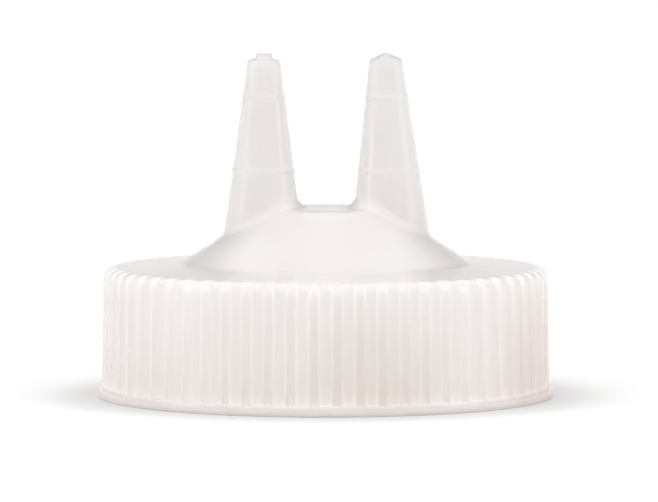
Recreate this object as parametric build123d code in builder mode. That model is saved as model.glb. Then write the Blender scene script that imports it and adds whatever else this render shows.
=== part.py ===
"""Twin-spout screw cap for a wide-mouth squeeze bottle, with the sealing ring that it holds inside.

Millimetres. +Z is up along the cap's axis, X runs from one spout to the other, and the origin is
the centre of the base plane, where the cap's rim stands when the cap lies on a table.
"""

import os
from math import cos, radians, sin, tan

from build123d import *

os.makedirs("parts", exist_ok=True)

# ---- driving dimensions ----
# skirt, flange and shoulder
flange_radius = 35.0
flange_height = 1.6
flange_edge_round = 0.5
skirt_top_radius = 33.7  # in the valleys between the grip ribs
skirt_foot_radius = 33.95
rib_height = 0.45
rib_count = 62
rib_share = 0.55  # of the pitch that a rib takes up
shoulder_top = 19.9  # height of the deck's outer edge
valley_round = 2.2  # shoulder radius between the ribs
rib_round = 1.5  # shoulder radius over the ribs
rib_top = 19.84  # where the ribs run out into the deck's edge
rib_inner_radius = 32.4  # the ribs' roots, inside the skirt's wall
rib_embed = 0.4
front = -90  # degrees; the middle of one rib faces this way

# deck and dome
dome_foot_radius = 22.4
dome_foot_height = 20.5
dome_foot_round = 4.0
dome_slope = 32.9  # degrees from the horizontal
dome_top = 29.0
dome_top_round = 4.0
wall = 1.3

# spouts: closed tapered tubes with two raised rings that show where to cut them
# of each spout: side, distance of its axis from the cap's at the dome's top, degrees that it leans
# inwards, height of its end's edge, rise from there to the point of its crowned end
left_spout = (-1, 9.62, 0.3, 51.65, 0.7)
right_spout = (1, 9.84, 1.6, 51.9, 0.95)
spout_foot_height = 22.0
spout_foot_radius = 6.37
spout_taper = 0.1308  # loss of radius per mm of height
ring_heights = (34.8, 46.1)
ring_proud = 0.1
ring_width = 0.4
spout_wall = 1.1
end_wall = 1.4
end_round = 0.2
nub_radius = 1.25
nub_top = 52.72
nub_round = 0.35
nub_embed = 0.6
spout_blend = 2.3

# inside of the cap: mouth, screw thread, retaining bead and the seat of the sealing ring
mouth_radius = 31.9
mouth_chamfer = 0.5
mouth_depth = 3.0
thread_root_radius = 31.45
thread_crest_radius = 30.4
thread_pitch = 4.233
thread_turns = 1.5
thread_start_height = 5.2
thread_base_width = 2.2
thread_crest_width = 1.0
thread_embed = 0.3
bead_bottom = 15.8
bead_top = 17.3
seat_height = 18.4
seat_radius = 30.9

# sealing ring
seal_inner_radius = 25.0
seal_thickness = 1.2
seal_chamfer = 0.6

place_tolerance = 0.01  # within which an edge counts as being at a given place

# ---- worked out from the driving dimensions ----
deck_edge_radius = skirt_top_radius - valley_round
deck_inner_radius = dome_foot_radius - 2  # the deck's disc overlaps the dome's foot
rib_angle = 360 / rib_count * rib_share
dome_top_radius = dome_foot_radius - (dome_top - dome_foot_height) / tan(radians(dome_slope))
# the dome's inner face is parallel to its outer one
inner_offset = wall / sin(radians(dome_slope))
cavity_foot_radius = (
    dome_foot_radius - inner_offset + (dome_foot_height - seat_height) / tan(radians(dome_slope))
)
cavity_top = dome_top - wall
cavity_top_radius = cavity_foot_radius - (cavity_top - seat_height) / tan(radians(dome_slope))


def spout_plane(side, distance, lean):
    """The plane through a spout's axis, with its origin at the spout's foot and local Y up the spout."""
    up = Vector(-side * sin(radians(lean)), 0, cos(radians(lean)))
    across = Vector(up.Z, 0, -up.X)
    foot = Vector(side * distance, 0, dome_top) - up * (dome_top - spout_foot_height)
    return Plane(origin=foot, x_dir=across, z_dir=across.cross(up))


def above_foot(height):
    """A height in the cap's frame as a distance up the spout from its foot."""
    return height - spout_foot_height


def spout_radius(height):
    return spout_foot_radius - spout_taper * above_foot(height)


# one grip rib: a sector of the band between the valley surface and the rib surface
rib_top_radius = skirt_top_radius + rib_height
rib_foot_radius = skirt_foot_radius + rib_height
with BuildPart() as rib:
    with BuildSketch(Plane.XZ.rotated((0, 0, -rib_angle / 2))):
        with BuildLine():
            Line((rib_inner_radius, flange_height - rib_embed), (rib_foot_radius, flange_height - rib_embed))
            Line((rib_foot_radius, flange_height - rib_embed), (rib_top_radius, rib_top - rib_round))
            RadiusArc(
                (rib_top_radius, rib_top - rib_round),
                (rib_top_radius - rib_round, rib_top),
                -rib_round,
            )
            Line((rib_top_radius - rib_round, rib_top), (deck_edge_radius, rib_top))
            Line((deck_edge_radius, rib_top), (deck_edge_radius, rib_top - rib_round))
            Line((deck_edge_radius, rib_top - rib_round), (rib_inner_radius, flange_height - rib_embed))
        make_face()
    revolve(axis=Axis.Z, revolution_arc=rib_angle)

# the ridge of the internal screw thread
thread_height = thread_pitch * thread_turns
with BuildPart() as thread_ridge:
    with BuildLine():
        thread_path = Helix(
            thread_pitch, thread_height, thread_root_radius, center=(0, 0, thread_start_height)
        )
    ridge_depth = thread_root_radius - thread_crest_radius
    with BuildSketch(Plane(thread_path @ 0, x_dir=(1, 0, 0), z_dir=thread_path % 0)):
        Polygon(
            (thread_embed, -thread_base_width / 2),
            (thread_embed, thread_base_width / 2),
            (-ridge_depth, thread_crest_width / 2),
            (-ridge_depth, -thread_crest_width / 2),
            align=None,
        )
    sweep(path=thread_path, is_frenet=True)

# the cap: one moulding of skirt, deck, dome and two closed spouts
with BuildPart() as cap:
    # dome with its blended top edge
    with BuildSketch(Plane.XZ):
        with BuildLine():
            FilletPolyline(
                (dome_foot_radius, dome_foot_height),
                (dome_top_radius, dome_top),
                (0, dome_top),
                radius=dome_top_round,
            )
            Line((0, dome_top), (0, seat_height))
            Line((0, seat_height), (dome_foot_radius, seat_height))
            Line((dome_foot_radius, seat_height), (dome_foot_radius, dome_foot_height))
        make_face()
    revolve(axis=Axis.Z)

    # the two spouts, both with crowned ends
    for side, distance, lean, end_height, crown in (left_spout, right_spout):
        plane = spout_plane(side, distance, lean)
        end = above_foot(end_height)
        end_radius = spout_radius(end_height)
        with BuildSketch(plane):
            with BuildLine():
                Line((0, 0), (spout_foot_radius, 0))
                Line((spout_foot_radius, 0), (end_radius, end - end_round))
                RadiusArc((end_radius, end - end_round), (end_radius - end_round, end), -end_round)
                Line((end_radius - end_round, end), (0, end + crown))
                Line((0, end + crown), (0, 0))
            make_face()
        revolve(axis=Axis(plane.origin, plane.y_dir))
    fillet(
        cap.edges().filter_by(lambda edge: edge.geom_type not in (GeomType.CIRCLE, GeomType.LINE)),
        radius=spout_blend,
    )

    # the raised rings that show where to cut
    for side, distance, lean, end_height, crown in (left_spout, right_spout):
        plane = spout_plane(side, distance, lean)
        for height in ring_heights:
            with BuildSketch(plane):
                with Locations((0, above_foot(height))):
                    Rectangle(
                        spout_radius(height) + ring_proud, ring_width, align=(Align.MIN, Align.CENTER)
                    )
            revolve(axis=Axis(plane.origin, plane.y_dir))

    # the nub on the left spout's end
    plane = spout_plane(*left_spout[:3])
    nub_root = above_foot(nub_top) - nub_round - nub_embed
    with BuildSketch(plane):
        with BuildLine():
            FilletPolyline(
                (nub_radius, nub_root),
                (nub_radius, above_foot(nub_top)),
                (0, above_foot(nub_top)),
                radius=nub_round,
            )
            Line((0, above_foot(nub_top)), (0, nub_root))
            Line((0, nub_root), (nub_radius, nub_root))
        make_face()
    revolve(axis=Axis(plane.origin, plane.y_dir))

    # skirt, flange and deck, open below
    with BuildSketch(Plane.XZ):
        with BuildLine():
            Line((mouth_radius + mouth_chamfer, 0), (flange_radius - flange_edge_round, 0))
            RadiusArc(
                (flange_radius - flange_edge_round, 0),
                (flange_radius, flange_edge_round),
                -flange_edge_round,
            )
            Line((flange_radius, flange_edge_round), (flange_radius, flange_height - flange_edge_round))
            RadiusArc(
                (flange_radius, flange_height - flange_edge_round),
                (flange_radius - flange_edge_round, flange_height),
                -flange_edge_round,
            )
            Line((flange_radius - flange_edge_round, flange_height), (skirt_foot_radius, flange_height))
            Line((skirt_foot_radius, flange_height), (skirt_top_radius, shoulder_top - valley_round))
            RadiusArc(
                (skirt_top_radius, shoulder_top - valley_round),
                (deck_edge_radius, shoulder_top),
                -valley_round,
            )
            Line((deck_edge_radius, shoulder_top), (dome_foot_radius, dome_foot_height))
            Line((dome_foot_radius, dome_foot_height), (deck_inner_radius, dome_foot_height))
            Line((deck_inner_radius, dome_foot_height), (deck_inner_radius, seat_height))
            Line((deck_inner_radius, seat_height), (seat_radius, seat_height))
            seal_flank = seat_radius - thread_crest_radius
            Line((seat_radius, seat_height), (seat_radius, bead_top + seal_flank))
            Line((seat_radius, bead_top + seal_flank), (thread_crest_radius, bead_top))
            Line((thread_crest_radius, bead_top), (thread_crest_radius, bead_bottom))
            Line(
                (thread_crest_radius, bead_bottom),
                (thread_root_radius, bead_bottom - (thread_root_radius - thread_crest_radius)),
            )
            Line(
                (thread_root_radius, bead_bottom - (thread_root_radius - thread_crest_radius)),
                (thread_root_radius, mouth_depth + (mouth_radius - thread_root_radius)),
            )
            Line(
                (thread_root_radius, mouth_depth + (mouth_radius - thread_root_radius)),
                (mouth_radius, mouth_depth),
            )
            Line((mouth_radius, mouth_depth), (mouth_radius, mouth_chamfer))
            Line((mouth_radius, mouth_chamfer), (mouth_radius + mouth_chamfer, 0))
        make_face()
    revolve(axis=Axis.Z)

    # the soft turn from the deck up into the dome
    circles = cap.edges().filter_by(GeomType.CIRCLE)
    circles_at_height = circles.filter_by(
        lambda edge: abs(edge.center().Z - dome_foot_height) < place_tolerance
    )
    foot_circle = circles_at_height.filter_by(
        lambda edge: abs(edge.radius - dome_foot_radius) < place_tolerance
    )
    fillet(foot_circle, radius=dome_foot_round)

    # the space under the dome, and the passage up each spout
    with BuildSketch(Plane.XZ):
        with BuildLine():
            FilletPolyline(
                (cavity_foot_radius, seat_height),
                (cavity_top_radius, cavity_top),
                (0, cavity_top),
                radius=dome_top_round - wall,
            )
            Line((0, cavity_top), (0, seat_height))
            Line((0, seat_height), (cavity_foot_radius, seat_height))
        make_face()
    revolve(axis=Axis.Z, mode=Mode.SUBTRACT)
    for side, distance, lean, end_height, crown in (left_spout, right_spout):
        plane = spout_plane(side, distance, lean)
        passage_top = end_height - end_wall
        with BuildSketch(plane):
            with BuildLine():
                Polyline(
                    (0, 0),
                    (spout_foot_radius - spout_wall, 0),
                    (spout_radius(passage_top) - spout_wall, above_foot(passage_top)),
                    (0, above_foot(passage_top)),
                    close=True,
                )
            make_face()
        revolve(axis=Axis(plane.origin, plane.y_dir), mode=Mode.SUBTRACT)

    # grip ribs and screw thread
    with PolarLocations(0, rib_count, start_angle=front):
        add(rib.part)
    add(thread_ridge.part)

cap.part.label = "screw_cap"
export_step(cap.part, "parts/screw_cap.step")

# the sealing ring, snapped in above the retaining bead and pressed up against the deck
with BuildPart() as seal:
    with BuildSketch(Plane.XZ):
        with BuildLine():
            Polyline(
                (seal_inner_radius, seat_height - seal_thickness),
                (seat_radius - seal_chamfer, seat_height - seal_thickness),
                (seat_radius, seat_height - seal_thickness + seal_chamfer),
                (seat_radius, seat_height),
                (seal_inner_radius, seat_height),
                close=True,
            )
        make_face()
    revolve(axis=Axis.Z)

seal.part.label = "sealing_ring"
export_step(seal.part, "parts/sealing_ring.step")
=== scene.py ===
"""Looks for the twin-spout screw cap: the moulding and its sealing ring as fine meshes of
translucent polyethylene, on a pale floor under soft studio light.

The cap's lengths are in millimetres and are turned into metres as each mesh is made. Shader
distances, the floor, the lights and the camera are in metres. The frame is the CAD's: +Z up, X from
spout to spout, the origin at the middle of the base plane.
"""

from math import atan, atan2, ceil, cos, degrees, hypot, pi, radians, sin, sqrt, tan

import bpy
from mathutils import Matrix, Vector
from mathutils.geometry import delaunay_2d_cdt


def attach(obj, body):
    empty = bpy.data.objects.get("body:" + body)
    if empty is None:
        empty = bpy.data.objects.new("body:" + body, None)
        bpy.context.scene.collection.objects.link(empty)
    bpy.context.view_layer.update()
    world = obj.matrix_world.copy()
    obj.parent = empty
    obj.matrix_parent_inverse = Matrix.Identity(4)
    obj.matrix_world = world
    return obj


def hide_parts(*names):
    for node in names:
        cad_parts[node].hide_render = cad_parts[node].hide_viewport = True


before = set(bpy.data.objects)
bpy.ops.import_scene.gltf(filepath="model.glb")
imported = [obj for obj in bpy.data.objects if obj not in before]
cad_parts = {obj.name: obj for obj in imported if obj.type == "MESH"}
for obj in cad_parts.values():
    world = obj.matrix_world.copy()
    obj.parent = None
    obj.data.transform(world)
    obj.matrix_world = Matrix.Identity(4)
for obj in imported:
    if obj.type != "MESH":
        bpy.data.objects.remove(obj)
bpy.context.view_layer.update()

MM = 0.001

# ---- the cap's dimensions, the same as in the CAD except where a comment says otherwise ----
FLANGE_RADIUS = 34.99  # 0.01 less than the CAD's, to stay within its facets
FLANGE_HEIGHT = 1.6
FLANGE_EDGE_ROUND = 0.5
FLANGE_FOOT_ROUND = 0.15  # sharper than the CAD's, whose flange is rounded alike above and below
SKIRT_TOP_RADIUS = 33.7
SKIRT_FOOT_RADIUS = 33.95
RIB_HEIGHT = 0.45
RIB_COUNT = 62
# where a rib's flank starts and ends, as shares of the pitch from the rib's middle; the CAD's flank
# is a step at 0.275
FLANK_START, FLANK_END = 0.22, 0.33
SHOULDER_TOP = 19.9
VALLEY_ROUND = 2.2
RIB_ROUND = 1.5
RIB_TOP = 19.84
DOME_FOOT_RADIUS = 22.4
DOME_FOOT_HEIGHT = 20.5
DOME_FOOT_ROUND = 4.0
DOME_SLOPE = radians(32.9)
DOME_TOP = 29.0
DOME_TOP_ROUND = 4.0
WALL = 1.3
# side, distance from the cap's axis at the dome's top, inward lean in degrees, height of the end's edge,
# rise from there to the point of the crowned end
LEFT_SPOUT = (-1, 9.62, 0.3, 51.65, 0.7)
RIGHT_SPOUT = (1, 9.84, 1.6, 51.9, 0.95)
SPOUT_FOOT_HEIGHT = 22.0
SPOUT_FOOT_RADIUS = 6.37
SPOUT_TAPER = 0.1308  # loss of radius per mm of height
SPOUT_WALL = 1.1
SPOUT_END_WALL = 1.4
SPOUT_BLEND = 2.3
END_ROUND = 0.2
RING_HEIGHTS = (34.8, 46.1)
RING_PROUD = 0.1
RING_REACH = 0.55  # each side of its crest: a smooth swelling, where the CAD has a step 0.4 wide
NUB_RADIUS = 1.25
NUB_TOP = 52.72
NUB_ROUND = 0.35
# the nub's foot runs out into the spout's end, where the CAD's is sharp: how far out it ends, and a
# point on the way there, as (distance from the nub's side, height above the crown)
NUB_FLARE = 0.12
NUB_FLARE_WAIST = (0.03, 0.06)
# the crown of the right spout's end gets flatter near its point, where the CAD's is a plain cone:
# from this share of the way in, and to this share of its slope
CROWN_BLUNT_FROM = 0.9
CROWN_BLUNT_SLOPE = 0.4
MOUTH_RADIUS = 31.9
MOUTH_CHAMFER = 0.5
MOUTH_DEPTH = 3.0
THREAD_ROOT_RADIUS = 31.45
THREAD_CREST_RADIUS = 30.4
THREAD_PITCH = 4.233
THREAD_TURNS = 1.5
THREAD_START_HEIGHT = 5.2
THREAD_BASE_WIDTH = 1.93  # at the root; the CAD's 2.2 is measured 0.3 further out, inside the wall
THREAD_CREST_WIDTH = 1.0
THREAD_RUN_OUT = radians(14)  # over which each end fades into the wall; the CAD's ends are square
BEAD_BOTTOM = 15.8
BEAD_TOP = 17.3
SEAT_HEIGHT = 18.4
SEAT_RADIUS = 30.9
SEAL_INNER_RADIUS = 25.0
SEAL_THICKNESS = 1.2
SEAL_CHAMFER = 0.6
SEAL_EDGE_ROUND = 0.12  # of the inner edge below, which the CAD leaves sharp
SEAL_EDGE_MIDDLE = 0.035  # how far the middle of that round stands off from both faces
# the closed end of a passage is very slightly domed, where the CAD's is flat: a loop at this share
# of the passage's radius, and the rise of that loop and of the middle
PASSAGE_END_SHARE = 0.92
PASSAGE_END_RISE = 0.02
PASSAGE_END_TOP = 0.05

# ---- mesh densities ----
# places of the columns across one rib's pitch, from the middle of one rib to the next, closest
# together on the flanks
HALF_PITCH = (0.0, 0.1, 0.19, 0.225, 0.25, 0.275, 0.3, 0.325, 0.36, 0.43)
PITCH_PLACES = HALF_PITCH + (0.5,) + tuple(1 - place for place in reversed(HALF_PITCH[1:]))
# places of the loops along the deck, into a rib's shoulder and down the skirt's wall, as shares
DECK_PLACES = (0, 0.08, 0.2, 0.35, 0.5, 0.65, 0.8, 0.92)
RIB_RUN_IN_PLACES = (0, 0.15, 0.35, 0.6, 0.85)
SKIRT_PLACES = (0.08, 0.2, 0.4, 0.6, 0.8, 0.92, 0.975, 0.99)
SHOULDER_STEPS = 18
FLANGE_STEPS = 6
THREAD_STEP = 0.2
# how far the loops that keep a corner crisp stand off from it
CREASE = 0.05
CHAMFER_CREASE = 0.04  # on the mouth's chamfer, outwards and down from its upper corner
MOUTH_CREASE = 0.06  # on the mouth's wall
SPOUT_COLUMNS = 96
BLEND_STEPS = 8
BLEND_SKIRT = 0.35  # how far a spout's mesh goes on over the dome, past the fillet
SIDE_STEPS = 26
RING_STEPS = 7  # each side of a ring's crest
RING_CLEARANCE = 1.2  # how far the even steps stay off a ring's crest, in ring reaches
# the loops of a spout and of its passage turn level over these heights, at these shares of the way
SIDE_LEVELLING = 1.2
SIDE_LEVELLING_PLACES = (0.33, 0.67, 1.0)
PASSAGE_LEVELLING = 0.8
PASSAGE_LEVELLING_PLACES = (0.1, 0.5, 1.0)
PASSAGE_STEPS = 12
END_ROUND_STEPS = 5
CROWN_PLACES = (0.15, 0.3, 0.45, 0.6, 0.75, 0.85, 0.93, 0.98)
NUB_ROUND_STEPS = 6
NUB_TOP_LOOP = 0.45  # radius of the loop on the nub's flat top
GRID_STEP = 0.75
RIM_OFFSETS = (0.2, 0.45, 0.75, 1.1, 1.5)  # of the rings of points close inside a patch's rim
RIM_POINTS = 360  # on each of those rings
HOLE_MARGIN = 0.3  # between the patch's own points and a spout's loop
HOLE_OVERLAP = 0.001  # a triangle belongs to a spout's hole only this far inside its loop
MERGE_DISTANCE = 1e-7

# ---- the search for points that have no formula: how often each is improved, and where from ----
GROUND_ROUNDS = 12
PASSAGE_EDGE_ROUNDS = 30
BLEND_HALVINGS = 40
BLEND_FOOT_RANGE = (4.0, 15.0)  # radii from a spout's axis between which its fillet meets the dome
SLOPE_STEP = 0.02  # each way, to measure the dome's slope

# ---- worked out from the dimensions ----
DOME_TOP_RADIUS = DOME_FOOT_RADIUS - (DOME_TOP - DOME_FOOT_HEIGHT) / tan(DOME_SLOPE)
DECK_SLOPE = atan(
    (DOME_FOOT_HEIGHT - SHOULDER_TOP) / (SKIRT_TOP_RADIUS - VALLEY_ROUND - DOME_FOOT_RADIUS)
)
FOOT_REACH = DOME_FOOT_ROUND * tan((DOME_SLOPE - DECK_SLOPE) / 2)  # of the foot's arc, along both slopes
PATCH_RADIUS = DOME_FOOT_RADIUS + FOOT_REACH * cos(DECK_SLOPE)  # where the dome's patch of mesh ends
CAVITY_FOOT_RADIUS = (
    DOME_FOOT_RADIUS - WALL / sin(DOME_SLOPE) + (DOME_FOOT_HEIGHT - SEAT_HEIGHT) / tan(DOME_SLOPE)
)
CAVITY_TOP = DOME_TOP - WALL
CAVITY_TOP_RADIUS = CAVITY_FOOT_RADIUS - (CAVITY_TOP - SEAT_HEIGHT) / tan(DOME_SLOPE)
SPOUT_ANGLES = [2 * pi * i / SPOUT_COLUMNS for i in range(SPOUT_COLUMNS)]


def blend(low, high, value):
    """0 at low, 1 at high, with a smooth turn at both ends."""
    t = min(max((value - low) / (high - low), 0.0), 1.0)
    return t * t * (3 - 2 * t)


def arc(centre, radius, start, end, steps):
    """Points on a circle in the (radius, height) plane; angles in degrees from the outward direction."""
    angles = [radians(start + (end - start) * i / steps) for i in range(steps + 1)]
    return [(centre[0] + radius * cos(a), centre[1] + radius * sin(a)) for a in angles]


def along(start, end, places):
    return [(start[0] + (end[0] - start[0]) * t, start[1] + (end[1] - start[1]) * t) for t in places]


# ---- surfaces as formulas ----
def capped_cone_height(rho, foot_radius, foot_height, top_radius, top, round_radius):
    """Height of a cone with a flat top, whose top edge is rounded to round_radius."""
    slope = tan(DOME_SLOPE)
    reach = round_radius * tan(DOME_SLOPE / 2)
    if rho <= top_radius - reach:
        return top
    if rho <= top_radius + reach * cos(DOME_SLOPE):
        off = rho - (top_radius - reach)
        return top - round_radius + sqrt(round_radius ** 2 - off ** 2)
    return foot_height + (foot_radius - rho) * slope


def dome_height(rho):
    """Height of the dome, with its soft turn into the deck, and of the deck beyond that."""
    if rho >= PATCH_RADIUS:
        return DOME_FOOT_HEIGHT - (rho - DOME_FOOT_RADIUS) * tan(DECK_SLOPE)
    if rho > DOME_FOOT_RADIUS - FOOT_REACH * cos(DOME_SLOPE):
        centre = PATCH_RADIUS + DOME_FOOT_ROUND * sin(DECK_SLOPE)
        low = DOME_FOOT_HEIGHT - FOOT_REACH * sin(DECK_SLOPE) + DOME_FOOT_ROUND * cos(DECK_SLOPE)
        return low - sqrt(DOME_FOOT_ROUND ** 2 - (centre - rho) ** 2)
    return capped_cone_height(
        rho, DOME_FOOT_RADIUS, DOME_FOOT_HEIGHT, DOME_TOP_RADIUS, DOME_TOP, DOME_TOP_ROUND
    )


def ceiling_height(rho):
    return capped_cone_height(
        rho, CAVITY_FOOT_RADIUS, SEAT_HEIGHT, CAVITY_TOP_RADIUS, CAVITY_TOP, DOME_TOP_ROUND - WALL
    )


def spout_radius(height, inset=0.0):
    """Radius of a spout at a height measured up its own axis, in the cap's heights."""
    return SPOUT_FOOT_RADIUS - SPOUT_TAPER * (height - SPOUT_FOOT_HEIGHT) - inset


def ribness(column_place):
    """1 on a rib's crest, 0 in a valley; column_place runs 0 to 1 from one rib's middle to the next."""
    off = min(column_place, 1 - column_place)
    return 1 - blend(FLANK_START, FLANK_END, off)


def thread_depth(angle, height):
    """How far the screw ridge stands in from the thread's root."""
    depth = 0.0
    for turn in range(ceil(THREAD_TURNS) + 1):
        run = angle + 2 * pi * turn
        last = 2 * pi * THREAD_TURNS
        if not 0 <= run <= last:
            continue
        off = abs(height - THREAD_START_HEIGHT - THREAD_PITCH * run / (2 * pi))
        half_base, half_crest = THREAD_BASE_WIDTH / 2, THREAD_CREST_WIDTH / 2
        side = min(max((half_base - off) / (half_base - half_crest), 0.0), 1.0)
        ends = blend(0, THREAD_RUN_OUT, run) * blend(0, THREAD_RUN_OUT, last - run)
        depth = max(depth, side * ends * (THREAD_ROOT_RADIUS - THREAD_CREST_RADIUS))
    return depth


# ---- mesh building ----
class Shell:
    """Vertices and faces of one closed surface, in millimetres."""

    def __init__(self):
        self.points = []
        self.faces = []

    def add_loop(self, points):
        first = len(self.points)
        self.points.extend(points)
        return list(range(first, first + len(points)))

    def bridge(self, one, other):
        """Quads between two loops of the same length, one after the other along the surface."""
        count = len(one)
        for i in range(count):
            j = (i + 1) % count
            self.faces.append((one[i], one[j], other[j], other[i]))

    def fan(self, loop, point, flip=False):
        """Closes a loop onto one point."""
        centre = self.add_loop([point])[0]
        count = len(loop)
        for i in range(count):
            j = (i + 1) % count
            self.faces.append((loop[i], centre, loop[j]) if flip else (loop[i], loop[j], centre))

    def object(self, name, material):
        mesh = bpy.data.meshes.new(name)
        mesh.from_pydata([Vector(p) * MM for p in self.points], [], self.faces)
        mesh.validate()
        mesh.shade_smooth()
        mesh.materials.append(material)
        piece = bpy.data.objects.new(name, mesh)
        bpy.context.scene.collection.objects.link(piece)
        return piece


def columns():
    """Angle and rib place of every column round the cap. A rib's middle faces the front, at -Y."""
    found = []
    for rib in range(RIB_COUNT):
        for place in PITCH_PLACES:
            found.append((-pi / 2 + 2 * pi * (rib + place) / RIB_COUNT, place))
    return found


COLUMNS = columns()


def lathe_loop(shell, where):
    """One loop round the axis; where(angle, place) gives the radius and height of its points."""
    points = []
    for angle, place in COLUMNS:
        rho, height = where(angle, place)
        points.append((rho * cos(angle), rho * sin(angle), height))
    return shell.add_loop(points)


def circle(shell, point):
    """One loop round the axis at a (radius, height) point."""
    return lathe_loop(shell, lambda angle, place: point)


def outside_pairs():
    """Pairs of (valley point, rib point), from the dome's foot over the shoulder to the flange."""
    edge = (SKIRT_TOP_RADIUS - VALLEY_ROUND, SHOULDER_TOP)
    foot = (PATCH_RADIUS, dome_height(PATCH_RADIUS))
    pairs = [(p, p) for p in along(foot, edge, DECK_PLACES)]
    valley = arc((edge[0], edge[1] - VALLEY_ROUND), VALLEY_ROUND, 90, 0, SHOULDER_STEPS)
    rib_top_radius = SKIRT_TOP_RADIUS + RIB_HEIGHT
    run_in = along(edge, (rib_top_radius - RIB_ROUND, RIB_TOP), RIB_RUN_IN_PLACES)
    centre = (rib_top_radius - RIB_ROUND, RIB_TOP - RIB_ROUND)
    over = arc(centre, RIB_ROUND, 90, 0, SHOULDER_STEPS - len(run_in))
    pairs += list(zip(valley, run_in + over))
    wall_top, wall_foot = valley[-1], (SKIRT_FOOT_RADIUS, FLANGE_HEIGHT)
    rib_foot = (SKIRT_FOOT_RADIUS + RIB_HEIGHT, FLANGE_HEIGHT)
    wall = along(wall_top, wall_foot, SKIRT_PLACES)
    pairs += list(zip(wall, along(over[-1], rib_foot, SKIRT_PLACES)))
    pairs.append((wall_foot, rib_foot))
    return pairs


def flange_points():
    """Round the flange, along its underside and into the mouth, down to the wall's foot."""
    outer = FLANGE_RADIUS - FLANGE_EDGE_ROUND
    above = (outer, FLANGE_HEIGHT - FLANGE_EDGE_ROUND)
    below = (FLANGE_RADIUS - FLANGE_FOOT_ROUND, FLANGE_FOOT_ROUND)
    chamfer_foot = MOUTH_RADIUS + MOUTH_CHAMFER
    return [
        *arc(above, FLANGE_EDGE_ROUND, 90, 0, FLANGE_STEPS),
        *arc(below, FLANGE_FOOT_ROUND, 0, -90, FLANGE_STEPS),
        (outer, 0), (chamfer_foot + CREASE, 0), (chamfer_foot, 0),
        (MOUTH_RADIUS + CHAMFER_CREASE, MOUTH_CHAMFER - CHAMFER_CREASE), (MOUTH_RADIUS, MOUTH_CHAMFER),
        (MOUTH_RADIUS, MOUTH_CHAMFER + MOUTH_CREASE), (MOUTH_RADIUS, MOUTH_DEPTH - MOUTH_CREASE),
        (MOUTH_RADIUS, MOUTH_DEPTH),
    ]


def seat_points():
    """From the retaining bead up into the ring's seat and in under the deck to the cavity's edge."""
    bead = THREAD_CREST_RADIUS
    flank = SEAT_RADIUS - bead
    return [
        (bead, BEAD_BOTTOM), (bead, BEAD_BOTTOM + CREASE), (bead, BEAD_TOP - CREASE), (bead, BEAD_TOP),
        (SEAT_RADIUS, BEAD_TOP + flank), (SEAT_RADIUS, SEAT_HEIGHT - CREASE), (SEAT_RADIUS, SEAT_HEIGHT),
        (SEAT_RADIUS - CREASE, SEAT_HEIGHT), (SEAL_INNER_RADIUS, SEAT_HEIGHT),
        (CAVITY_FOOT_RADIUS + CREASE, SEAT_HEIGHT), (CAVITY_FOOT_RADIUS, SEAT_HEIGHT),
    ]


def lathe_cap(shell):
    """The skirt, flange, thread and deck. Returns the loops at the dome's foot and the cavity's."""
    loops = []
    for valley, rib in outside_pairs():
        def where(angle, place, valley=valley, rib=rib):
            share = ribness(place)
            return valley[0] + (rib[0] - valley[0]) * share, valley[1] + (rib[1] - valley[1]) * share
        loops.append(lathe_loop(shell, where))
    loops += [circle(shell, point) for point in flange_points()]
    wall_foot = MOUTH_DEPTH + MOUTH_RADIUS - THREAD_ROOT_RADIUS
    wall_top = BEAD_BOTTOM - (THREAD_ROOT_RADIUS - THREAD_CREST_RADIUS)
    rows = round((wall_top - wall_foot) / THREAD_STEP)
    for row in range(rows + 1):
        height = wall_foot + (wall_top - wall_foot) * row / rows
        def threaded(angle, place, height=height):
            return THREAD_ROOT_RADIUS - thread_depth((angle + 2 * pi) % (2 * pi), height), height
        loops.append(lathe_loop(shell, threaded))
    loops += [circle(shell, point) for point in seat_points()]
    for one, other in zip(loops, loops[1:]):
        shell.bridge(other, one)
    return loops[0], loops[-1]


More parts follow.
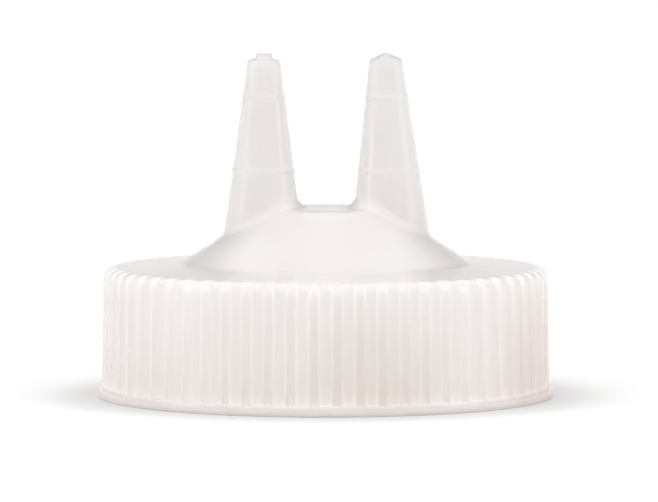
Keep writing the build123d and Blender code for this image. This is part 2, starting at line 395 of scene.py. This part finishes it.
class Spout:
    """One spout's place, and how its end is shaped."""

    def __init__(self, side, distance, lean, end_height, crown):
        self.side = side
        self.end_height = end_height
        self.crown = crown
        self.up = Vector((-side * sin(radians(lean)), 0, cos(radians(lean))))
        self.across = Vector((self.up.z, 0, -self.up.x))
        self.base = Vector((side * distance, 0, DOME_TOP)) - self.up * DOME_TOP

    def point(self, angle, radius, height):
        """A point at this angle and radius round the spout's axis and this height up it."""
        flat = self.across * cos(angle) + Vector((0, 1, 0)) * sin(angle)
        return self.base + self.up * height + flat * radius

    def loop(self, shell, pairs):
        """A loop round the spout, with one (radius, height) pair for each of SPOUT_ANGLES."""
        return shell.add_loop([self.point(a, *pair) for a, pair in zip(SPOUT_ANGLES, pairs)])

    def level_loop(self, shell, radius, height):
        """A loop round the spout at one radius and height."""
        return self.loop(shell, [(radius, height)] * SPOUT_COLUMNS)

    def ground(self, angle, radius, surface):
        """The height up the axis where the ray at this angle and radius meets a surface of the cap."""
        height = DOME_TOP
        for _ in range(GROUND_ROUNDS):
            spot = self.point(angle, radius, height)
            height += surface(hypot(spot.x, spot.y)) - spot.z
        return height

    def blend_curve(self, angle):
        """Points of the fillet from the spout's side to the dome, as (radius, height) pairs."""
        tilt = atan(SPOUT_TAPER)

        def centre_for(foot):
            height = self.ground(angle, foot, dome_height)
            further = self.ground(angle, foot + SLOPE_STEP, dome_height)
            nearer = self.ground(angle, foot - SLOPE_STEP, dome_height)
            rise = (further - nearer) / (2 * SLOPE_STEP)
            size = hypot(1, rise)
            return foot - rise / size * SPOUT_BLEND, height + SPOUT_BLEND / size, rise

        def clearance(foot):
            radius, height, _ = centre_for(foot)
            return (radius - spout_radius(height)) * cos(tilt) - SPOUT_BLEND

        near, far = BLEND_FOOT_RANGE
        for _ in range(BLEND_HALVINGS):
            middle = (near + far) / 2
            if clearance(middle) < 0:
                near = middle
            else:
                far = middle
        foot = (near + far) / 2
        radius, height, rise = centre_for(foot)
        start = pi + tilt
        end = atan2(self.ground(angle, foot, dome_height) - height, foot - radius) + 2 * pi
        turn = [start + (end - start) * i / BLEND_STEPS for i in range(BLEND_STEPS + 1)]
        return [(radius + SPOUT_BLEND * cos(t), height + SPOUT_BLEND * sin(t)) for t in turn]


def ring_bump(height):
    """How far the two cut rings stand out at this height."""
    bump = 0.0
    for ring in RING_HEIGHTS:
        off = (height - ring) / RING_REACH
        bump += RING_PROUD * max(0.0, 1 - off * off) ** 2
    return bump


def spout_side_heights(low, high):
    """Heights of the loops up a spout's side: even steps, with closer ones at the rings."""
    heights = [low + (high - low) * i / SIDE_STEPS for i in range(1, SIDE_STEPS + 1)]
    for ring in RING_HEIGHTS:
        heights = [h for h in heights if abs(h - ring) > RING_REACH * RING_CLEARANCE]
        heights += [ring + RING_REACH * i / RING_STEPS for i in range(-RING_STEPS, RING_STEPS + 1)]
    return sorted(heights)


def spout_end(spout):
    """(radius, height) pairs over a spout's closed end, without the last point on the axis."""
    end = spout.end_height
    rim = spout_radius(end) - END_ROUND
    slope = spout.crown / rim
    lean = 90 - degrees(atan(slope))
    points = arc((rim, end - END_ROUND), END_ROUND, 0, lean, END_ROUND_STEPS)[1:]
    if spout.side > 0:
        for share in CROWN_PLACES:
            rise = min(share, CROWN_BLUNT_FROM + CROWN_BLUNT_SLOPE * (share - CROWN_BLUNT_FROM))
            points.append((rim * (1 - share), end + spout.crown * rise))
        return points
    foot = NUB_RADIUS + NUB_FLARE
    # loops on the crown, near its rim and near the nub
    points += [(r, end + slope * (rim - r)) for r in (rim * 0.85, foot + 0.15, foot)]
    out, above = NUB_FLARE_WAIST
    points.append((NUB_RADIUS + out, end + slope * (rim - NUB_RADIUS) + above))
    points += arc((NUB_RADIUS - NUB_ROUND, NUB_TOP - NUB_ROUND), NUB_ROUND, 0, 90, NUB_ROUND_STEPS)
    return points + [(NUB_TOP_LOOP, NUB_TOP)]


def add_spout(shell, spout):
    """The outer surface of a spout. Returns its lowest loop and that loop's radii."""
    curves = [spout.blend_curve(a) for a in SPOUT_ANGLES]
    skirts = []
    for angle, curve in zip(SPOUT_ANGLES, curves):
        reach = curve[-1][0] + BLEND_SKIRT
        skirts.append((reach, spout.ground(angle, reach, dome_height)))
    loops = [spout.loop(shell, skirts)]
    for step in reversed(range(BLEND_STEPS + 1)):
        loops.append(spout.loop(shell, [curve[step] for curve in curves]))
    starts = [curve[0][1] for curve in curves]
    high = max(starts) + SIDE_LEVELLING
    for share in SIDE_LEVELLING_PLACES:
        heights = [start + (high - start) * share for start in starts]
        loops.append(spout.loop(shell, [(spout_radius(h), h) for h in heights]))
    for height in spout_side_heights(high, spout.end_height - END_ROUND):
        loops.append(spout.level_loop(shell, spout_radius(height) + ring_bump(height), height))
    end_points = spout_end(spout)
    for radius, height in end_points:
        loops.append(spout.level_loop(shell, radius, height))
    for one, other in zip(loops, loops[1:]):
        shell.bridge(one, other)
    shell.fan(loops[-1], spout.point(0, 0, end_points[-1][1]))
    return loops[0], [edge[0] for edge in skirts]


def add_passage(shell, spout):
    """The passage up a spout. Returns its loop in the ceiling and that loop's radii."""
    edges = []
    for angle in SPOUT_ANGLES:
        radius = spout_radius(DOME_TOP, SPOUT_WALL)
        for _ in range(PASSAGE_EDGE_ROUNDS):
            height = spout.ground(angle, radius, ceiling_height)
            radius = spout_radius(height, SPOUT_WALL)
        edges.append((radius, height))
    loops = [spout.loop(shell, edges)]
    low = max(height for _, height in edges) + PASSAGE_LEVELLING
    high = spout.end_height - SPOUT_END_WALL
    for share in PASSAGE_LEVELLING_PLACES:
        heights = [height + (low - height) * share for _, height in edges]
        loops.append(spout.loop(shell, [(spout_radius(h, SPOUT_WALL), h) for h in heights]))
    for i in range(1, PASSAGE_STEPS + 1):
        height = low + (high - low) * i / PASSAGE_STEPS
        loops.append(spout.level_loop(shell, spout_radius(height, SPOUT_WALL), height))
    inner = spout_radius(high, SPOUT_WALL)
    loops.append(spout.level_loop(shell, inner * PASSAGE_END_SHARE, high + PASSAGE_END_RISE))
    for one, other in zip(loops, loops[1:]):
        shell.bridge(other, one)
    shell.fan(loops[-1], spout.point(0, 0, high + PASSAGE_END_TOP), flip=True)
    return loops[0], [edge[0] for edge in edges]


def fill_between(shell, rim, holes, surface, rim_radius, upwards):
    """Covers the disc inside the rim loop, round the spouts' loops, with triangles on the surface."""
    fixed = list(rim)
    for loop, _, _ in holes:
        fixed += loop
    flat = [Vector(shell.points[i][:2]) for i in fixed]
    edges = []
    start = 0
    for count in [len(rim)] + [len(loop) for loop, _, _ in holes]:
        edges += [(start + i, start + (i + 1) % count) for i in range(count)]
        start += count

    def in_hole(x, y, margin):
        for _, radii, spout in holes:
            spot = Vector((x, y, surface(hypot(x, y)))) - spout.base
            angle = atan2(spot.y, spot.dot(spout.across))
            place = (angle % (2 * pi)) / (2 * pi) * SPOUT_COLUMNS
            low = int(place) % SPOUT_COLUMNS
            high = (low + 1) % SPOUT_COLUMNS
            radius = radii[low] + (radii[high] - radii[low]) * (place - int(place))
            if hypot(spot.y, spot.dot(spout.across)) < radius + margin:
                return True
        return False

    free = []
    rings = round(rim_radius / GRID_STEP)
    near_rim = [(rim_radius - off, RIM_POINTS) for off in RIM_OFFSETS]
    # the outermost even rings give way to the ones near the rim
    inner = [(GRID_STEP * k, max(6, round(2 * pi * k))) for k in range(1, rings - 2)]
    for rho, count in near_rim + inner + [(0.0, 1)]:
        for i in range(count):
            angle = 2 * pi * (i + 0.5 * (count % 2)) / count
            x, y = rho * cos(angle), rho * sin(angle)
            if not in_hole(x, y, HOLE_MARGIN):
                free.append(Vector((x, y)))
    points, _, triangles, origins, _, _ = delaunay_2d_cdt(flat + free, edges, [], 0, MERGE_DISTANCE)
    index = []
    for point, origin in zip(points, origins):
        if origin and origin[0] < len(fixed):
            index.append(fixed[origin[0]])
        else:
            index.append(shell.add_loop([(point.x, point.y, surface(point.length))])[0])
    for triangle in triangles:
        middle = sum((points[i] for i in triangle), Vector((0, 0))) / 3
        if in_hole(middle.x, middle.y, -HOLE_OVERLAP) or middle.length > rim_radius:
            continue
        face = [index[i] for i in triangle]
        shell.faces.append(tuple(face if upwards else reversed(face)))


def build_cap(material):
    shell = Shell()
    foot_loop, cavity_loop = lathe_cap(shell)
    spouts = [Spout(*LEFT_SPOUT), Spout(*RIGHT_SPOUT)]
    outer = [(*add_spout(shell, spout), spout) for spout in spouts]
    fill_between(shell, foot_loop, outer, dome_height, PATCH_RADIUS, True)
    inner = [(*add_passage(shell, spout), spout) for spout in spouts]
    fill_between(shell, cavity_loop, inner, ceiling_height, CAVITY_FOOT_RADIUS, False)
    return shell.object("cap_moulding", material)


def build_seal(material):
    shell = Shell()
    low, top = SEAT_HEIGHT - SEAL_THICKNESS, SEAT_HEIGHT
    outer, inner = SEAT_RADIUS, SEAL_INNER_RADIUS
    outline = [
        (inner, top), (inner, low + SEAL_EDGE_ROUND),
        (inner + SEAL_EDGE_MIDDLE, low + SEAL_EDGE_MIDDLE), (inner + SEAL_EDGE_ROUND, low),
        (outer - SEAL_CHAMFER - CREASE, low), (outer - SEAL_CHAMFER, low),
        (outer, low + SEAL_CHAMFER), (outer, top),
    ]
    loops = [circle(shell, point) for point in outline]
    for one, other in zip(loops, loops[1:] + loops[:1]):
        shell.bridge(one, other)
    return shell.object("seal_ring_foam", material)


# ---- materials ----
# the plastic's colour by height above the base, with painted light and shade in it: painted light at the
# foot against the shade where it meets the floor, and painted shade darkening the skirt towards its
# foot;
# warm in the skirt, more neutral up the spouts and darker at their tips
PLASTIC_COLOURS_AND_PAINTED_SHADE = (
    (0.0, (0.87, 0.82, 0.805)), (1.5, (0.745, 0.695, 0.68)), (9.9, (0.755, 0.715, 0.70)),
    (18.2, (0.77, 0.735, 0.725)), (24.7, (0.785, 0.75, 0.745)), (33.0, (0.80, 0.765, 0.765)),
    (51.0, (0.79, 0.755, 0.755)), (52.2, (0.64, 0.61, 0.605)),
)
# faint warm painted shade in the skirt, for the cap's dim inside seen through its wall: centre, reach
# along each axis, colour
PAINTED_SHADE_CLOUDS = (
    ((7.5, -33.5, 7.0), (15.0, 20.0, 11.0), (0.95, 0.93, 0.90)),
    ((34.0, -12.0, 6.0), (14.0, 18.0, 18.0), (0.93, 0.885, 0.86)),
)
WHITE = (1.0, 1.0, 1.0)
MILKY_DEPTH = 0.003  # how far light spreads inside the plastic, in metres
ROUGHNESS_RANGE = (0.19, 0.25)  # all below about 0.27, where the rendered tone changes in a step


def new_material(name):
    material = bpy.data.materials.new(name)
    material.use_nodes = True
    nodes = material.node_tree.nodes
    nodes.clear()
    output = nodes.new("ShaderNodeOutputMaterial")
    shader = nodes.new("ShaderNodeBsdfPrincipled")
    material.node_tree.links.new(shader.outputs["BSDF"], output.inputs["Surface"])
    return material, shader


def noise(material, scale, detail):
    """A noise texture in the object's own space; scale is in features per metre."""
    nodes, links = material.node_tree.nodes, material.node_tree.links
    place = nodes.new("ShaderNodeTexCoord")
    texture = nodes.new("ShaderNodeTexNoise")
    texture.inputs["Scale"].default_value = scale
    texture.inputs["Detail"].default_value = detail
    links.new(place.outputs["Object"], texture.inputs["Vector"])
    return texture


def colour_ramp(material, source, stops):
    """A ramp over a 0 to 1 source; stops are (place, colour) pairs."""
    nodes, links = material.node_tree.nodes, material.node_tree.links
    ramp = nodes.new("ShaderNodeValToRGB")
    elements = ramp.color_ramp.elements
    while len(elements) < len(stops):
        elements.new(1.0)
    for element, (place, colour) in zip(elements, stops):
        element.position = place
        element.color = (*colour, 1)
    links.new(source, ramp.inputs["Fac"])
    return ramp


def multiply(material, one, other):
    """The product of two colours."""
    nodes, links = material.node_tree.nodes, material.node_tree.links
    mix = nodes.new("ShaderNodeMix")
    mix.data_type = "RGBA"
    mix.blend_type = "MULTIPLY"
    mix.inputs["Factor"].default_value = 1.0
    links.new(one, mix.inputs["A"])
    links.new(other, mix.inputs["B"])
    return mix.outputs["Result"]


def add_bump(material, shader, source, distance, strength):
    nodes, links = material.node_tree.nodes, material.node_tree.links
    bump = nodes.new("ShaderNodeBump")
    bump.inputs["Strength"].default_value = strength
    bump.inputs["Distance"].default_value = distance
    links.new(source, bump.inputs["Height"])
    links.new(bump.outputs["Normal"], shader.inputs["Normal"])


def cap_plastic():
    """Natural polyethylene: milky, slightly translucent, satin, with the faint mottle of a moulding,
    painted light and shade by height, and warm painted shade in the skirt.
    """
    material, shader = new_material("natural_polyethylene")
    nodes, links = material.node_tree.nodes, material.node_tree.links
    place = nodes.new("ShaderNodeTexCoord")
    split = nodes.new("ShaderNodeSeparateXYZ")
    rise = nodes.new("ShaderNodeMapRange")
    rise.inputs["From Max"].default_value = NUB_TOP * MM
    links.new(place.outputs["Object"], split.inputs["Vector"])
    links.new(split.outputs["Z"], rise.inputs["Value"])
    # colour by height, with painted light at the foot and painted shade down the skirt
    stops = [(height / NUB_TOP, colour) for height, colour in PLASTIC_COLOURS_AND_PAINTED_SHADE]
    colour_and_painted_shade_by_height = colour_ramp(material, rise.outputs["Result"], stops)
    mottle = noise(material, scale=60, detail=3)
    cast = colour_ramp(material, mottle.outputs["Fac"], ((0.3, (0.975, 0.97, 0.96)), (0.7, WHITE)))
    colour = multiply(material, colour_and_painted_shade_by_height.outputs["Color"], cast.outputs["Color"])
    # painted shade: warm darker patches for the cap's dim inside seen through the skirt
    for centre, reach, shade_tint in PAINTED_SHADE_CLOUDS:
        cloud_place = nodes.new("ShaderNodeMapping")
        cloud_place.vector_type = "TEXTURE"
        cloud_place.inputs["Location"].default_value = Vector(centre) * MM
        cloud_place.inputs["Scale"].default_value = Vector(reach) * MM
        cloud = nodes.new("ShaderNodeTexGradient")
        cloud.gradient_type = "SPHERICAL"
        links.new(place.outputs["Object"], cloud_place.inputs["Vector"])
        links.new(cloud_place.outputs["Vector"], cloud.inputs["Vector"])
        shade_patch = colour_ramp(material, cloud.outputs["Fac"], ((0.0, WHITE), (0.75, shade_tint)))
        shade_patch.color_ramp.interpolation = "EASE"
        colour = multiply(material, colour, shade_patch.outputs["Color"])
    links.new(colour, shader.inputs["Base Color"])
    shader.subsurface_method = "BURLEY"
    shader.inputs["Subsurface Weight"].default_value = 1.0
    shader.inputs["Subsurface Radius"].default_value = (1.0, 1.0, 1.0)
    shader.inputs["Subsurface Scale"].default_value = MILKY_DEPTH
    shader.inputs["IOR"].default_value = 1.5
    satin = noise(material, scale=900, detail=2)
    rough = nodes.new("ShaderNodeMapRange")
    rough.inputs["To Min"].default_value = ROUGHNESS_RANGE[0]
    rough.inputs["To Max"].default_value = ROUGHNESS_RANGE[1]
    links.new(satin.outputs["Fac"], rough.inputs["Value"])
    links.new(rough.outputs["Result"], shader.inputs["Roughness"])
    waves = noise(material, scale=350, detail=1)
    add_bump(material, shader, waves.outputs["Fac"], distance=0.00006, strength=0.4)
    return material


def seal_foam():
    """Closed-cell polyethylene foam: matt, with fine cells pressed flat."""
    material, shader = new_material("seal_foam_cells")
    nodes, links = material.node_tree.nodes, material.node_tree.links
    cells = nodes.new("ShaderNodeTexVoronoi")
    cells.inputs["Scale"].default_value = 2200
    place = nodes.new("ShaderNodeTexCoord")
    links.new(place.outputs["Object"], cells.inputs["Vector"])
    tones = ((0.0, (0.88, 0.88, 0.85)), (0.8, (0.8, 0.8, 0.77)))
    ramp = colour_ramp(material, cells.outputs["Distance"], tones)
    links.new(ramp.outputs["Color"], shader.inputs["Base Color"])
    shader.inputs["Roughness"].default_value = 0.75
    add_bump(material, shader, cells.outputs["Distance"], distance=0.00006, strength=0.5)
    return material


cap = build_cap(cap_plastic())
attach(cap, "root")
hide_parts("screw_cap")

seal = build_seal(seal_foam())
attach(seal, "root")
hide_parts("sealing_ring")


# ---- floor, light and camera ----
FLOOR_REACH = 20.0  # from the middle to each side, in metres
# a painted soft contact shadow on the floor next to the cap, out to this many flange radii
PAINTED_SHADOW_REACH = 1.36
PAINTED_SHADOW_TONE = 0.85
# the air's brightness changes between these sines of elevation, from the first tone to the second
AIR_RISE = (0.10, 0.30)
AIR_TONES = (0.98, 0.15)


def pale_floor():
    """Matt white paper, with a painted soft contact shadow close round the cap."""
    material, shader = new_material("pale_floor")
    nodes, links = material.node_tree.nodes, material.node_tree.links
    paper = noise(material, scale=40, detail=2)
    tones = ((0.2, (0.93, 0.93, 0.93)), (0.8, (0.94, 0.94, 0.94)))
    ramp = colour_ramp(material, paper.outputs["Fac"], tones)
    place = nodes.new("ShaderNodeTexCoord")
    # painted contact shadow: the floor's colour darkens close round the cap
    reach = nodes.new("ShaderNodeVectorMath")
    reach.operation = "LENGTH"
    near = nodes.new("ShaderNodeMapRange")
    near.interpolation_type = "SMOOTHSTEP"
    near.inputs["From Min"].default_value = FLANGE_RADIUS * MM
    near.inputs["From Max"].default_value = FLANGE_RADIUS * MM * PAINTED_SHADOW_REACH
    near.inputs["To Min"].default_value = PAINTED_SHADOW_TONE
    links.new(place.outputs["Object"], reach.inputs[0])
    links.new(reach.outputs["Value"], near.inputs["Value"])
    colour = multiply(material, ramp.outputs["Color"], near.outputs["Result"])
    links.new(colour, shader.inputs["Base Color"])
    shader.inputs["Roughness"].default_value = 0.9
    shader.inputs["Specular IOR Level"].default_value = 0.0
    return material


def build_floor():
    mesh = bpy.data.meshes.new("studio_floor")
    reach = FLOOR_REACH
    corners = [(-reach, -reach, 0), (reach, -reach, 0), (reach, reach, 0), (-reach, reach, 0)]
    mesh.from_pydata(corners, [], [(0, 1, 2, 3)])
    mesh.materials.append(pale_floor())
    floor = bpy.data.objects.new("studio_floor", mesh)
    bpy.context.scene.collection.objects.link(floor)


def far_light(name, azimuth, elevation, strength, spread):
    """Far, wide studio light. Its angles are in degrees; azimuth 0 is the front, 90 the right."""
    light = bpy.data.lights.new(name, "SUN")
    light.energy = strength
    light.angle = radians(spread)
    lamp = bpy.data.objects.new(name, light)
    turn, rise = radians(azimuth), radians(elevation)
    towards = Vector((sin(turn) * cos(rise), -cos(turn) * cos(rise), sin(rise)))
    lamp.rotation_euler = towards.to_track_quat("Z", "Y").to_euler()
    bpy.context.scene.collection.objects.link(lamp)


def strip_light(name, azimuth, radiance):
    """A tall soft box that stands on the floor beside the object, at an azimuth like far_light's."""
    distance, width, height = 2.4, 0.3, 2.2
    light = bpy.data.lights.new(name, "AREA")
    light.shape = "RECTANGLE"
    light.size = width
    light.size_y = height
    light.energy = radiance * pi * width * height
    lamp = bpy.data.objects.new(name, light)
    turn = radians(azimuth)
    out = Vector((sin(turn), -cos(turn), 0))
    lamp.location = out * distance + Vector((0, 0, height / 2))
    lamp.rotation_euler = out.to_track_quat("Z", "Y").to_euler()
    lamp.visible_camera = False
    bpy.context.scene.collection.objects.link(lamp)


def build_world():
    """Bright air at the horizon and below, and dim air above."""
    world = bpy.data.worlds.new("studio_air")
    world.use_nodes = True
    nodes, links = world.node_tree.nodes, world.node_tree.links
    direction = nodes.new("ShaderNodeTexCoord")
    split = nodes.new("ShaderNodeSeparateXYZ")
    rise = nodes.new("ShaderNodeMapRange")
    rise.inputs["From Min"].default_value = AIR_RISE[0]
    rise.inputs["From Max"].default_value = AIR_RISE[1]
    rise.inputs["To Min"].default_value = AIR_TONES[0]
    rise.inputs["To Max"].default_value = AIR_TONES[1]
    links.new(direction.outputs["Generated"], split.inputs["Vector"])
    links.new(split.outputs["Z"], rise.inputs["Value"])
    links.new(rise.outputs["Result"], nodes["Background"].inputs["Strength"])
    nodes["Background"].inputs["Color"].default_value = (1, 1, 1, 1)
    bpy.context.scene.world = world


def build_camera():
    """A long lens about a metre away, a little above the cap."""
    distance, height, aside = 0.973, 0.0929, 0.0005
    pitch = radians(4.15)
    camera = bpy.data.cameras.new("camera")
    camera.sensor_width = 36
    camera.lens = 346.9
    camera.clip_start = 0.05
    camera.clip_end = 20
    holder = bpy.data.objects.new("camera", camera)
    holder.location = (aside, -distance, height)
    holder.rotation_euler = (pi / 2 - pitch, 0, 0)
    bpy.context.scene.collection.objects.link(holder)
    bpy.context.scene.camera = holder


build_floor()
build_world()
far_light("overhead", azimuth=0, elevation=82, strength=2.75, spread=120)
strip_light("left_strip", azimuth=-77, radiance=3.7)
strip_light("right_strip", azimuth=77, radiance=3.7)
build_camera()
bpy.context.scene.view_settings.view_transform = "Standard"
